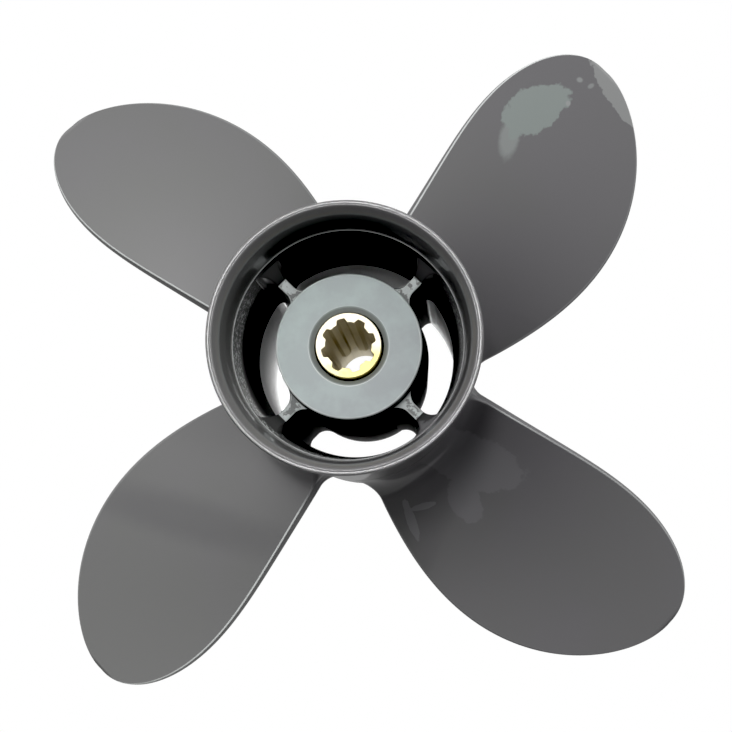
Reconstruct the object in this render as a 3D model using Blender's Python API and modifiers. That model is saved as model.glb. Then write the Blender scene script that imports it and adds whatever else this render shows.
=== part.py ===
"""A four-bladed, right-hand outboard propeller with exhaust passages through its hub.

+Z is the shaft's axis and points aft. The propeller stands on the flat front end of its barrel, at z = 0.
The casting (barrel, inner hub, ribs and blades) is divided at its named parts, and GAP parts those solids.
"""

import math

import bmesh
import bpy
from mathutils import Vector

MM = 0.001
GAP = 0.3 * MM

# Overall sizes
DIAMETER = 235 * MM
LENGTH = 108 * MM
BLADES = 4
ROUND_STEPS = 72

# Outer barrel: the bore tapers from both ends to the parting line of its two cores
BARREL_RADIUS = 33.8 * MM
RIM_RADIUS = 35.8 * MM
RIM_LIP = 2.2 * MM
FLARE_START = 92 * MM
BORE_FRONT_RADIUS = 30.1 * MM
BORE_PARTING_RADIUS = 28.4 * MM
BORE_AFT_RADIUS = 30.0 * MM
PARTING_HEIGHT = 61.5 * MM
LEDGE_HEIGHT = 91.6 * MM
LEDGE_RADIUS = 31.2 * MM
FLARE_INNER_HEIGHT = 94 * MM

# Inner hub
HUB_FRONT = 10 * MM
HUB_AFT = 90 * MM
HUB_FRONT_RADIUS = 20.4 * MM
HUB_PARTING_RADIUS = 21.3 * MM
HUB_AFT_RADIUS = 19.8 * MM
HUB_BORE_RADIUS = 14.5 * MM
HUB_END_WALL = 6 * MM
HUB_LIP_RADIUS = 9.7 * MM
HUB_LIP_ROUND = 0.8 * MM

# Ribs
RIB_ANGLE = 46
RIB_FRONT = 14 * MM
RIB_AFT = 84 * MM
RIB_RAMP_TOP = 90.4 * MM
RIB_RAMP_ROUND = 2.6 * MM
RIB_WAIST = 3.1 * MM
RIB_FILLET = 3.4 * MM

# Rubber bushing and splined sleeve
SLEEVE_FRONT = 14 * MM
SLEEVE_AFT = 91 * MM
SLEEVE_RADIUS = 8.9 * MM
SPLINE_SLOTS = 8
SPLINE_ANGLE = 17
SPLINE_TOOTH_RADIUS = 6.25 * MM
SPLINE_SLOT_RADIUS = 7.4 * MM
SPLINE_MOUTH_WIDTH = 3.05 * MM
SPLINE_FLOOR_WIDTH = 2.05 * MM
SPLINE_RELIEF_RADIUS = 7.9 * MM
SPLINE_RELIEF_DEPTH = 24 * MM
BUSHING_FRONT = 18 * MM

# Blades. Angles are in degrees about the axis, from the blade's own centre line. The half width
# shrinks as the square root of what is left of the span, so that the tip is round.
BLADE_ANGLE = 39.6
BLADE_HALF_WIDTH = (35.3, 29.3, 32.1, 34.3, 30.3)
BLADE_SKEW = (0.0, 1.9, 1.8, 5.6, 6.6, 10.7)
BLADE_HEIGHT = 40.0 * MM
BLADE_RAKE = 4.8 * MM
PITCH_ROOT = 230 * MM
PITCH_TIP = 269 * MM
PITCH_EASE = 2.0 * MM
ROOT_THICKNESS = 8.0 * MM
TIP_THICKNESS = 2.6 * MM
LEADING_EDGE = 1.8 * MM
TRAILING_EDGE = 2.6 * MM
TRAILING_ROUND = 0.7 * MM
FACE_DEPTH = 0.95 * MM
BLADE_FILLET = 5.0 * MM


def clear_scene():
    for obj in list(bpy.data.objects):
        bpy.data.objects.remove(obj)


def new_collection(name):
    collection = bpy.data.collections.new(name)
    bpy.context.scene.collection.children.link(collection)
    return collection


def new_material(name, colour, roughness, metallic):
    material = bpy.data.materials.new(name)
    material.use_nodes = True
    shader = material.node_tree.nodes["Principled BSDF"]
    shader.inputs["Base Color"].default_value = (*colour, 1)
    shader.inputs["Roughness"].default_value = roughness
    shader.inputs["Metallic"].default_value = metallic
    return material


def new_object(name, data, collection, material=None):
    obj = bpy.data.objects.new(name, data)
    collection.objects.link(obj)
    if material:
        data.materials.append(material)
    return obj


def smooth(obj, angle=35):
    obj.data.shade_smooth()
    obj.data.set_sharp_from_angle(angle=math.radians(angle))


def as_cutter(obj):
    obj.hide_render = True
    obj.display_type = "WIRE"
    return obj


def cut(obj, cutter, operation="DIFFERENCE"):
    boolean = obj.modifiers.new(cutter.name, "BOOLEAN")
    boolean.operation = operation
    boolean.object = cutter


def rounded(corners, steps=3):
    """A closed outline of (radius, height) points. Each corner's third value is its fillet radius."""
    points = []
    for index, (across, up, fillet) in enumerate(corners):
        corner = Vector((across, up))
        if not fillet:
            points.append(corner)
            continue
        back = (Vector(corners[index - 1][:2]) - corner).normalized()
        ahead = (Vector(corners[(index + 1) % len(corners)][:2]) - corner).normalized()
        half = back.angle(ahead) / 2
        centre = corner + (back + ahead).normalized() * fillet / math.sin(half)
        start = (corner + back * fillet / math.tan(half) - centre).normalized()
        end = (corner + ahead * fillet / math.tan(half) - centre).normalized()
        points += [centre + start.slerp(end, step / steps) * fillet for step in range(steps + 1)]
    return points


def turned(name, corners, collection, material=None):
    """A ring turned about Z. Its outline runs down the outer side and up the inner one."""
    outline = [(point.x, 0, point.y) for point in rounded(corners)]
    edges = [(index, (index + 1) % len(outline)) for index in range(len(outline))]
    mesh = bpy.data.meshes.new(name)
    mesh.from_pydata(outline, edges, [])
    obj = new_object(name, mesh, collection, material)
    screw = obj.modifiers.new("Turn", "SCREW")
    screw.steps = screw.render_steps = ROUND_STEPS
    screw.use_merge_vertices = True
    screw.merge_threshold = 0.01 * MM
    return obj


def cylinder_cutter(name, radius, low, high, collection):
    mesh = bpy.data.meshes.new(name)
    shape = bmesh.new()
    bmesh.ops.create_cone(
        shape, cap_ends=True, segments=ROUND_STEPS, radius1=radius, radius2=radius, depth=high - low
    )
    bmesh.ops.translate(shape, vec=(0, 0, (low + high) / 2), verts=shape.verts)
    shape.to_mesh(mesh)
    shape.free()
    return as_cutter(new_object(name, mesh, collection))


def plate(name, outlines, low, high, collection, material=None):
    """A flat outline of closed (x, y) loops, the later ones as holes, extruded from low to high."""
    curve = bpy.data.curves.new(name, "CURVE")
    curve.dimensions = "2D"
    curve.fill_mode = "BOTH"
    curve.extrude = (high - low) / 2
    for outline in outlines:
        spline = curve.splines.new("POLY")
        spline.points.add(len(outline) - 1)
        for point, (across, up) in zip(spline.points, outline):
            point.co = (across, up, 0, 1)
        spline.use_cyclic_u = True
    drawn = new_object(name, curve, collection)
    bpy.context.view_layer.update()
    graph = bpy.context.evaluated_depsgraph_get()
    mesh = bpy.data.meshes.new_from_object(drawn.evaluated_get(graph))
    bpy.data.objects.remove(drawn)
    shape = bmesh.new()
    shape.from_mesh(mesh)
    bmesh.ops.remove_doubles(shape, verts=shape.verts, dist=0.001 * MM)
    bmesh.ops.translate(shape, vec=(0, 0, (low + high) / 2), verts=shape.verts)
    shape.to_mesh(mesh)
    shape.free()
    mesh.materials.clear()
    return new_object(name, mesh, collection, material)


def outer_barrel(parts, paint):
    rim_round = RIM_LIP * 0.45
    barrel = turned(
        "outer_barrel",
        [
            (RIM_RADIUS, LENGTH, rim_round),
            (RIM_RADIUS - 0.5 * MM, LENGTH - 7 * MM, 0),
            (BARREL_RADIUS, FLARE_START, 0),
            (BARREL_RADIUS, 0, 0.6 * MM),
            (BORE_FRONT_RADIUS, 0, 0.6 * MM),
            (BORE_PARTING_RADIUS, PARTING_HEIGHT, 0),
            (BORE_AFT_RADIUS, LEDGE_HEIGHT, 0),
            (LEDGE_RADIUS, FLARE_INNER_HEIGHT, 0),
            (RIM_RADIUS - RIM_LIP, LENGTH, rim_round),
        ],
        parts,
        paint,
    )
    smooth(barrel)


def inner_hub(parts, paint):
    hub = turned(
        "inner_hub",
        [
            (HUB_AFT_RADIUS, HUB_AFT, 1.5 * MM),
            (HUB_PARTING_RADIUS, PARTING_HEIGHT, 0),
            (HUB_FRONT_RADIUS, HUB_FRONT, 0.8 * MM),
            (HUB_BORE_RADIUS, HUB_FRONT, 0.8 * MM),
            (HUB_BORE_RADIUS, HUB_AFT - HUB_END_WALL, 0),
            (HUB_LIP_RADIUS, HUB_AFT - HUB_END_WALL, 0),
            (HUB_LIP_RADIUS, HUB_AFT, HUB_LIP_ROUND),
        ],
        parts,
        paint,
    )
    smooth(hub)


def taper(height, low, low_radius, high, high_radius):
    """The radius at a height on a wall that tapers evenly from a low end to a high one."""
    return low_radius + (high_radius - low_radius) * (height - low) / (high - low)


def passage_ring(cutters):
    """The space between hub and barrel, GAP inside both walls, which the ribs are cut to.

    Its aft end gives the ribs their end faces, which sweep up to the barrel's ledge.
    """
    below = -10 * MM
    hub_side = GAP + taper(RIB_AFT, PARTING_HEIGHT, HUB_PARTING_RADIUS, HUB_AFT, HUB_AFT_RADIUS)
    bore_side = taper(RIB_RAMP_TOP, PARTING_HEIGHT, BORE_PARTING_RADIUS, LEDGE_HEIGHT, BORE_AFT_RADIUS) - GAP
    ramp_edge = bore_side - 0.8 * MM
    return as_cutter(
        turned(
            "passage_ring",
            [
                (bore_side, RIB_RAMP_TOP, 0),
                (BORE_PARTING_RADIUS - GAP, PARTING_HEIGHT, 0),
                (BORE_FRONT_RADIUS - GAP, below, 0),
                (HUB_FRONT_RADIUS + GAP, below, 0),
                (HUB_PARTING_RADIUS + GAP, PARTING_HEIGHT, 0),
                (hub_side, RIB_AFT, 0),
                (ramp_edge, RIB_AFT, RIB_RAMP_ROUND),
                (ramp_edge, RIB_RAMP_TOP, 0),
            ],
            cutters,
        )
    )


def rib_outline():
    """The plan of one rib along +X: a straight waist that flares by an arc into each wall."""
    inner = HUB_AFT_RADIUS - 1 * MM
    outer = BORE_FRONT_RADIUS + 1 * MM
    flare_steps = 5
    side = [(inner, RIB_WAIST / 2 + RIB_FILLET)]
    for wall, outward in ((HUB_PARTING_RADIUS, 1), (BORE_PARTING_RADIUS, -1)):
        arc = []
        for step in range(flare_steps + 1):
            turn = math.radians(12 + 78 * step / flare_steps)
            along = wall + outward * RIB_FILLET * (1 - math.cos(turn))
            arc.append((along, RIB_WAIST / 2 + RIB_FILLET * (1 - math.sin(turn))))
        side += arc if outward > 0 else arc[::-1]
    side.append((outer, RIB_WAIST / 2 + RIB_FILLET))
    return side + [(along, -half) for along, half in side[::-1]]


def ribs(parts, cutters, paint):
    ring = passage_ring(cutters)
    for number in range(BLADES):
        rib = plate(f"rib_{number + 1}", [rib_outline()], RIB_FRONT, LEDGE_HEIGHT, parts, paint)
        rib.rotation_euler.z = math.radians(RIB_ANGLE) + number * math.tau / BLADES
        cut(rib, ring, "INTERSECT")
        smooth(rib)


def bezier(controls, along):
    """The value at a fraction of the way along a curve with these evenly spaced controls."""
    degree = len(controls) - 1
    return sum(
        math.comb(degree, index) * along**index * (1 - along) ** (degree - index) * value
        for index, value in enumerate(controls)
    )


def blade_edges(span):
    """The angles of the leading and trailing edges at a fraction of the blade's span."""
    half = math.sqrt(max(1 - span, 0)) * bezier(BLADE_HALF_WIDTH, span)
    skew = bezier(BLADE_SKEW, span)
    return math.radians(skew - half), math.radians(skew + half)


def face_height(span, angle):
    """The height of the surface FACE_DEPTH under the aft face, a screw whose pitch grows to the tip."""
    pitch = PITCH_ROOT + (PITCH_TIP - PITCH_ROOT) * span
    return BLADE_HEIGHT + BLADE_RAKE * span + pitch * angle / math.tau - PITCH_EASE * angle**2


def round_off(distance, radius):
    """How far an edge of this radius has swelled to its full thickness, from 0 to 1."""
    left = 1 - min(max(distance / radius, 0), 1)
    return math.sqrt(1 - left**2)


def blade_section(radius):
    """One section, unrolled: a loop of (arc length, height) points along the face and back."""
    tip = DIAMETER / 2
    span = (radius - BARREL_RADIUS) / (tip - BARREL_RADIUS)
    lead, trail = blade_edges(span)
    chord = (trail - lead) * radius
    thickest = ROOT_THICKNESS + (TIP_THICKNESS - ROOT_THICKNESS) * max(span, 0) ** 0.8
    near_edge = [0.0, 0.1, 0.4, 1.0]
    edge = min(LEADING_EDGE / 2, chord / 4)
    inner = [edge + (chord - 2 * edge) * step / 8 for step in range(1, 8)]
    stations = [edge * part for part in near_edge] + inner + [chord - edge * part for part in near_edge[::-1]]
    face, back = [], []
    for station in stations:
        along = station / chord
        angle = lead + station / radius
        slope = (face_height(span, angle + 0.001) - face_height(span, angle - 0.001)) / (0.002 * radius)
        forward = Vector((slope, -1)).normalized()
        edge_now = LEADING_EDGE + (TRAILING_EDGE - LEADING_EDGE) * along
        swell = max(0, 4 * along * (1 - along)) ** 0.8
        full = edge_now + (thickest - edge_now) * swell
        corner = full / 2 + (min(TRAILING_ROUND, full / 2) - full / 2) * along
        half = full / 2 - corner * (1 - round_off(min(station, chord - station), edge))
        half *= round_off(tip - radius, edge)
        middle = Vector((angle * radius, face_height(span, angle))) + forward * (full / 2 - FACE_DEPTH)
        face.append(middle - forward * half)
        back.append(middle + forward * half)
    return face + back[:0:-1]


def grown(loop, amount):
    """The loop moved outwards by this amount."""
    moved = []
    for index, point in enumerate(loop):
        ahead = loop[(index + 1) % len(loop)] - loop[index - 1]
        moved.append(point + Vector((-ahead.y, ahead.x)).normalized() * amount)
    return moved


def blade_mesh():
    """Sections lofted from inside the barrel to the tip, swelled near the barrel by the root fillet."""
    tip = DIAMETER / 2
    fillet_rows = [BARREL_RADIUS + BLADE_FILLET * part for part in (-0.4, 0.0, 0.1, 0.28, 0.55, 1.0)]
    free_rows = 12
    start = fillet_rows[-1]
    span_rows = [tip - (tip - start) * (1 - row / free_rows) ** 2 for row in range(1, free_rows)]
    loops = []
    for radius in fillet_rows + span_rows:
        height = min(max(radius - BARREL_RADIUS, 0), BLADE_FILLET)
        swell = BLADE_FILLET - math.sqrt(BLADE_FILLET**2 - (BLADE_FILLET - height) ** 2)
        loop = blade_section(max(radius, BARREL_RADIUS))
        if swell > 0:
            loop = grown(loop, swell)
        wall = max(radius, BARREL_RADIUS)
        loops.append([(radius * math.cos(p.x / wall), radius * math.sin(p.x / wall), p.y) for p in loop])
    lead, _ = blade_edges(1)
    shape = bmesh.new()
    rings = [[shape.verts.new(point) for point in loop] for loop in loops]
    middle = face_height(1, lead) - TIP_THICKNESS / 4
    end = shape.verts.new((tip * math.cos(lead), tip * math.sin(lead), middle))
    count = len(rings[0])
    shape.faces.new(rings[0])
    for inner, outer in zip(rings, rings[1:]):
        for index in range(count):
            after = (index + 1) % count
            shape.faces.new((inner[after], inner[index], outer[index], outer[after]))
    for index in range(count):
        shape.faces.new((rings[-1][(index + 1) % count], rings[-1][index], end))
    bmesh.ops.triangulate(shape, faces=shape.faces)
    bmesh.ops.recalc_face_normals(shape, faces=shape.faces)
    mesh = bpy.data.meshes.new("blade")
    shape.to_mesh(mesh)
    shape.free()
    return mesh


def blades(parts, cutters, paint):
    core = cylinder_cutter("barrel_clearance", BARREL_RADIUS + GAP, -LENGTH, 2 * LENGTH, cutters)
    for number in range(BLADES):
        blade = new_object(f"blade_{number + 1}", blade_mesh(), parts, paint)
        blade.rotation_euler.z = math.radians(BLADE_ANGLE) + number * math.tau / BLADES
        cut(blade, core)
        smooth(blade)


def drive_bushing(parts, rubber):
    outer = HUB_BORE_RADIUS - GAP
    inner = SLEEVE_RADIUS + GAP
    top = HUB_AFT - HUB_END_WALL - GAP
    ring = turned(
        "drive_bushing",
        [(outer, top, 0), (outer, BUSHING_FRONT, 1 * MM), (inner, BUSHING_FRONT, 0), (inner, top, 0)],
        parts,
        rubber,
    )
    smooth(ring)


def spline_outline():
    """The bore's outline: round between the slots, which narrow from their mouth to a round floor."""
    points = []
    pitch = math.tau / SPLINE_SLOTS
    mouth = math.asin(SPLINE_MOUTH_WIDTH / 2 / SPLINE_TOOTH_RADIUS)
    floor = math.asin(SPLINE_FLOOR_WIDTH / 2 / SPLINE_SLOT_RADIUS)
    for slot in range(SPLINE_SLOTS):
        centre = math.radians(SPLINE_ANGLE) + slot * pitch
        for turn in (-floor, 0, floor):
            points.append((SPLINE_SLOT_RADIUS, centre + turn))
        for step in range(3):
            turn = mouth + (pitch - 2 * mouth) * step / 2
            points.append((SPLINE_TOOTH_RADIUS, centre + turn))
    return [(radius * math.cos(angle), radius * math.sin(angle)) for radius, angle in points]


def splined_sleeve(parts, cutters, brass):
    turn = math.tau / ROUND_STEPS
    circle = [
        (SLEEVE_RADIUS * math.cos(step * turn), SLEEVE_RADIUS * math.sin(step * turn))
        for step in range(ROUND_STEPS)
    ]
    sleeve = plate("splined_sleeve", [circle, spline_outline()], SLEEVE_FRONT, SLEEVE_AFT, parts, brass)
    relief_end = SLEEVE_FRONT + SPLINE_RELIEF_DEPTH
    relief = cylinder_cutter("spline_relief", SPLINE_RELIEF_RADIUS, -LENGTH, relief_end, cutters)
    cut(sleeve, relief)
    smooth(sleeve)


def main():
    clear_scene()
    parts = new_collection("propeller")
    cutters = new_collection("cutters")
    paint = new_material("grey_paint", (0.13, 0.135, 0.135), 0.3, 0.0)
    brass = new_material("brass", (0.80, 0.66, 0.33), 0.3, 1.0)
    rubber = new_material("rubber", (0.03, 0.03, 0.03), 0.8, 0.0)
    outer_barrel(parts, paint)
    inner_hub(parts, paint)
    ribs(parts, cutters, paint)
    blades(parts, cutters, paint)
    drive_bushing(parts, rubber)
    splined_sleeve(parts, cutters, brass)


main()
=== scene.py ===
"""A cast and painted four-bladed propeller with a rubber-cushioned brass sleeve, in a plain studio.

Lengths are in metres. +Z is the shaft's axis and points aft, and the propeller stands at z = 0.
"""

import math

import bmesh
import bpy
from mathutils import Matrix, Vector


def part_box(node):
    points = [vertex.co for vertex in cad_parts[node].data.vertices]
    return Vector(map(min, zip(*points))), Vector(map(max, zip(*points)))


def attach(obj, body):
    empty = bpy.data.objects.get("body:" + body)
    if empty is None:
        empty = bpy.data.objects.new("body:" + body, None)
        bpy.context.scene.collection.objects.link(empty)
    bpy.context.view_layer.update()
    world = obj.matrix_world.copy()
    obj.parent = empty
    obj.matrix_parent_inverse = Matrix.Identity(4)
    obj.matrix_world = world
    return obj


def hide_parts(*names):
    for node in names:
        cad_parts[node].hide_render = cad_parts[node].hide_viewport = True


bl_info = {
    "name": "Ship Propeller",
    "version": (1, 0, 0),
    "blender": (4, 5, 0),
    "location": "3D View > Sidebar > Propeller",
    "description": "Builds a painted four-bladed propeller, its splined sleeve and a plain studio",
    "category": "Add Mesh",
}

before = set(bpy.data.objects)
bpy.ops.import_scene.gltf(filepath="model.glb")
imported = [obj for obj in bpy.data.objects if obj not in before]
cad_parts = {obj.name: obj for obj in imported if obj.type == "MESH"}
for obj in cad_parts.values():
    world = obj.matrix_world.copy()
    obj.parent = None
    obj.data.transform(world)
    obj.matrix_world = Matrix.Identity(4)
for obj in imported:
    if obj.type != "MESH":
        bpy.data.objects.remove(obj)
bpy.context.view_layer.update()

MM = 0.001
BODY = "root"

BARREL_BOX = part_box("outer_barrel")
HUB_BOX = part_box("inner_hub")
SLEEVE_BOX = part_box("splined_sleeve")
CUSHION_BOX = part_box("drive_bushing")
BLADES = sum(name.startswith("blade_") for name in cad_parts)

# Soft lights of the studio: azimuth and elevation in degrees, focus and strength
SKY = (
    (135, 4, 8, 1.0),
    (0, 22, 8, 1.0),
    (45, 22, 8, 1.1),
    (90, 22, 8, 2.2),
    (180, 22, 8, 0.3),
    (0, 55, 10, 0.53),
    (180, 55, 10, 1.28),
    (300, 55, 10, 0.64),
)

# Lights under the front end, for the passages and the bore: radii in mm and strength
GLOW_RINGS = {"passage_glow": (21.5, 29.5, 4.0), "bore_glow": (1.0, 7.5, 0.8)}
CAMERA_PLACE = (0.02496, -0.04808, 0.41223)

# Reflections painted onto the blades as lighter and darker patches: place in mm, turn, length and
# width, softness, raggedness and tone
PAINTED_REFLECTIONS = (
    (45.5, 69, 78, 6, 2.8, 0.3, 0.7, (0.24, 0.255, 0.252)),
    (53.4, 77.6, 33, 11.5, 6.2, 0.05, 0.7, (0.24, 0.272, 0.262)),
    (78, 84, -51, 13, 3.0, 0.05, 1.2, (0.26, 0.265, 0.265)),
    (67, 87, 0, 0.9, 0.7, 0.4, 0.5, (0.26, 0.27, 0.27)),
    (70.5, 85.5, 30, 1.0, 0.6, 0.4, 0.5, (0.24, 0.25, 0.25)),
    (63.5, 80, 0, 0.7, 0.7, 0.4, 0.5, (0.3, 0.31, 0.31)),
    (33, -28.5, -22, 17, 7.5, 0.05, 0.7, (0.168, 0.166, 0.173)),
    (32, -40, -62, 7.5, 4.5, 0.05, 0.6, (0.168, 0.166, 0.173)),
    (15.5, -46, -70, 6.5, 1.5, 0.05, 0.8, (0.19, 0.19, 0.195)),
    (19, -42, 15, 4.5, 1.0, 0.05, 0.8, (0.19, 0.19, 0.195)),
    (-53, -46, -14, 34, 6, 0.6, 0.3, (0.11, 0.11, 0.112)),
)


# Sizes and finishes that a user can change


def length(name, description, mm):
    """A length in metres, whose default is given in mm."""
    return bpy.props.FloatProperty(
        name=name, description=description, default=mm * MM, min=0.0, precision=5, unit="LENGTH"
    )


def angle(name, description, degrees):
    return bpy.props.FloatProperty(
        name=name, description=description, default=math.radians(degrees), subtype="ANGLE"
    )


def fraction(name, description, default):
    return bpy.props.FloatProperty(
        name=name, description=description, default=default, min=0.0, max=1.0, subtype="FACTOR"
    )


def colour(name, description, default):
    return bpy.props.FloatVectorProperty(
        name=name, description=description, default=default, min=0.0, max=1.0, subtype="COLOR"
    )


class PropellerHousing(bpy.types.PropertyGroup):
    """Sizes of the barrel, the hub and the ribs between them"""

    barrel_length: length("Barrel length", "From the front end to the rim", BARREL_BOX[1][2] / MM)
    rim_radius: length("Rim radius", "Outside of the flared aft rim", BARREL_BOX[1][0] / MM)
    rim_lip: length("Rim lip", "Width of the rounded lip at the rim", 1.6)
    rim_bead: length("Rim bead", "Round of the inner one of the two beads on the rim", 0.6)
    throat_radius: length("Throat radius", "Where the bell inside the rim opens wider", 32.6)
    throat_height: length("Throat height", "Where the bell inside the rim opens wider", 105.6)
    neck_radius: length("Neck radius", "Where the bell above the ledge starts to open", 31.75)
    neck_height: length("Neck height", "Where the bell above the ledge starts to open", 100.5)
    barrel_radius: length("Barrel radius", "Outside of the barrel, under the blades", 33.8)
    flare_height: length("Flare height", "Where the barrel starts to flare to its rim", 92)
    bore_front: length("Front bore radius", "Inside of the barrel at its front end", 30.1)
    bore_parting: length("Parting bore radius", "Inside of the barrel where its cores met", 28.4)
    bore_aft: length("Aft bore radius", "Inside of the barrel under the ledge", 30.85)
    parting_height: length("Parting height", "Where the two cores of the passages met", 61.5)
    ledge_height: length("Ledge height", "Inner edge of the small ledge under the flare", 93.8)
    ledge_radius: length("Ledge radius", "Outer edge of the small ledge", 31.2)
    ledge_top: length("Ledge top", "Height of the ledge's outer edge", 94)
    hub_front_radius: length("Front hub radius", "Outside of the hub at its front end", 20.4)
    hub_parting: length("Parting hub radius", "Outside of the hub where the cores met", 21.3)
    hub_aft_radius: length("Aft hub radius", "Outside of the hub at its closed end", 19.8)
    hub_bore: length("Hub bore radius", "Inside of the hub, round the rubber", 14.5)
    hub_wall: length("Hub end wall", "Thickness of the hub's closed end", 6)
    hub_hole: length("Hub hole radius", "Hole in the closed end, round the sleeve", 9.45)
    hole_bevel: length("Hole bevel", "Width of the bevel round the hole", 1.45)
    rib_angle: angle("Rib angle", "Where the first rib stands", 46)
    rib_front: length("Rib front", "Front end of the ribs", 14)
    rib_aft: length("Rib aft", "Height of the ribs' flat end faces", 84)
    rib_top: length("Rib top", "Where the ribs run out on the barrel's wall", 92.8)
    rib_flat: length("Rib flat", "Outer end of the ribs' flat end faces", 26.7)
    rib_waist: length("Rib waist", "Thickness of a rib at its middle", 3.0)
    rib_fillet: length("Rib fillet", "Round where a rib meets the hub and the barrel", 3.6)


class PropellerBlades(bpy.types.PropertyGroup):
    """Sizes of the blades"""

    diameter: length("Diameter", "Across the blade tips", 235)
    first_angle: angle("First blade", "Where the first blade stands", 39.6)
    height: length("Height", "Of the first blade's middle line at the barrel", 40)
    rake: length("Rake", "How far the tip leans aft", 4.8)
    root_pitch: length("Root pitch", "Travel in one turn at the barrel", 230)
    tip_pitch: length("Tip pitch", "Travel in one turn at the tip", 269)
    root_thickness: length("Root thickness", "Thickest part of the section at the barrel", 8)
    tip_thickness: length("Tip thickness", "Thickest part of the section at the tip", 2.6)
    leading_edge: length("Leading edge", "Thickness of the round leading edge", 1.8)
    trailing_edge: length("Trailing edge", "Thickness of the flat trailing edge", 2.6)
    face_fillet: length("Face fillet", "Round between the aft face and the barrel", 7)
    back_fillet: length("Back fillet", "Round between the front face and the barrel", 4.5)
    edge_fillet: length("Edge fillet", "Round at the ends of a blade's root", 3.75)


class PropellerSleeve(bpy.types.PropertyGroup):
    """Sizes of the splined sleeve"""

    slots: bpy.props.IntProperty(
        name="Slots", description="Spline slots in the sleeve", default=8, min=3
    )
    first_slot: angle("First slot", "Where the first slot stands", 17)
    tooth_radius: length("Tooth radius", "Bore between the slots", 6.25)
    slot_radius: length("Slot radius", "Floor of the slots", 7.4)
    slot_mouth: length("Slot mouth", "Width of a slot at the teeth", 3.05)
    slot_floor: length("Slot floor", "Width of a slot at its floor", 2.05)
    relief_radius: length("Relief radius", "Plain bore past the end of the teeth", 7.9)
    relief_height: length("Relief height", "Where the teeth end", 38)
    chamfer: length("Chamfer", "Broken edge at the sleeve's ends", 0.16)


class PropellerFinish(bpy.types.PropertyGroup):
    """Colours and gloss"""

    paint: colour("Paint", "Grey paint of the casting", (0.141, 0.138, 0.145))
    paint_shade: colour("Paint shade", "Cooler tone in the paint's clouds", (0.135, 0.136, 0.134))
    paint_gloss: fraction("Paint roughness", "Roughness of the paint under its clear top", 0.34)
    # Pale colour that paints the overhead light's reflection onto the hub's face
    hub_face_sheen: colour("Hub face", "Matte face of the hub", (0.42, 0.49, 0.48))
    # Darker tone of the face's mottling and of its painted shade towards the lower right
    hub_face_mottle_and_shade: colour("Hub face shade", "Darker tone of its mottling", (0.34, 0.37, 0.38))
    # Worn bare casting, with a pale tone that also paints a highlight: the ribs' ends, the grit and
    # the ledge's edge
    worn_and_highlight: colour("Worn paint", "Rough cast ends of the ribs", (0.72, 0.755, 0.75))
    # Painted highlight: the colour of the bright lines on the ribs', the hub's and the blades'
    # edges
    bright: colour("Bright edges", "Metal that shows at the ribs' edges", (0.75, 0.78, 0.77))
    raw: colour("Raw casting", "Unpainted wall at the front of the passages", (0.92, 0.93, 0.93))
    # Painted shade: the bare wall's darker tone near the front end
    raw_painted_shade: colour("Raw casting shade", "The same wall near the front end", (0.2, 0.205, 0.205))
    # Painted shadow: black deep in the passages, on the upper side of the bore and in the bell
    painted_shadow: colour("Soot", "Exhaust soot in the passages", (0.004, 0.004, 0.004))
    brass: colour("Brass", "Machined sleeve", (0.84, 0.77, 0.6))
    # Yellower tone towards the lower right of the sleeve's end
    brass_yellower: colour("Tarnished brass", "Yellower side of the sleeve's end", (0.8, 0.7, 0.3))
    brass_shade: colour("Brass shade", "Stained brass in the bore", (0.76, 0.71, 0.56))
    # Painted shade deep in the bore, past the teeth
    brass_far_shadow: colour("Dark brass", "Far end of the bore", (0.1, 0.08, 0.035))
    rubber: colour("Rubber", "Moulded cushion", (0.018, 0.018, 0.015))


class PropellerStudio(bpy.types.PropertyGroup):
    """Floor, lights and camera"""

    floor_size: length("Floor size", "Side of the square floor", 8000)
    focal: bpy.props.FloatProperty(
        name="Focal length",
        description="Of the camera, on a 36 mm frame",
        default=59.6,
        unit="CAMERA",
    )
    black_level: bpy.props.FloatProperty(
        name="Black level",
        description="Brightness that the picture shows as black",
        default=0.02,
        min=0.0,
    )
    tilt: angle("Tilt", "Camera's turn about X", 7.526)
    lean: angle("Lean", "Camera's turn about Y", 3.559)


# Nodes as expressions


class Value:
    """A node's output. An operator on values adds its Math node to their tree."""

    def __init__(self, tree, socket=None):
        self.tree = tree
        self.socket = socket

    def node(self, kind, settings=None, inputs=None, output=0):
        """Adds a node, sets its settings and then its inputs, and returns one of its outputs."""
        added = self.tree.nodes.new(kind)
        for name, setting in (settings or {}).items():
            setattr(added, name, setting)
        for name, given in (inputs or {}).items():
            if isinstance(given, Value):
                self.tree.links.new(given.socket, added.inputs[name])
            else:
                added.inputs[name].default_value = given
        return Value(self.tree, added.outputs[output])

    def __add__(self, other):
        return maths("ADD", self, other)

    def __radd__(self, other):
        return maths("ADD", other, self)

    def __sub__(self, other):
        return maths("SUBTRACT", self, other)

    def __rsub__(self, other):
        return maths("SUBTRACT", other, self)

    def __mul__(self, other):
        return maths("MULTIPLY", self, other)

    def __rmul__(self, other):
        return maths("MULTIPLY", other, self)

    def __truediv__(self, other):
        return maths("DIVIDE", self, other)

    def __rtruediv__(self, other):
        return maths("DIVIDE", other, self)

    def __pow__(self, other):
        return maths("POWER", self, other)


def maths(operation, *values):
    """One Math node on values and numbers. At least one of them is a value."""
    owner = next(value for value in values if isinstance(value, Value))
    return owner.node("ShaderNodeMath", {"operation": operation}, dict(enumerate(values)))


def larger(first, second):
    return maths("MAXIMUM", first, second)


def smaller(first, second):
    return maths("MINIMUM", first, second)


def ramp(value, start, end, low=0.0, high=1.0):
    """Runs from low to high while the value runs from start to end, and stays there beyond them."""
    return value.node("ShaderNodeMapRange", {}, {0: value, 1: start, 2: end, 3: low, 4: high})


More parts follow.
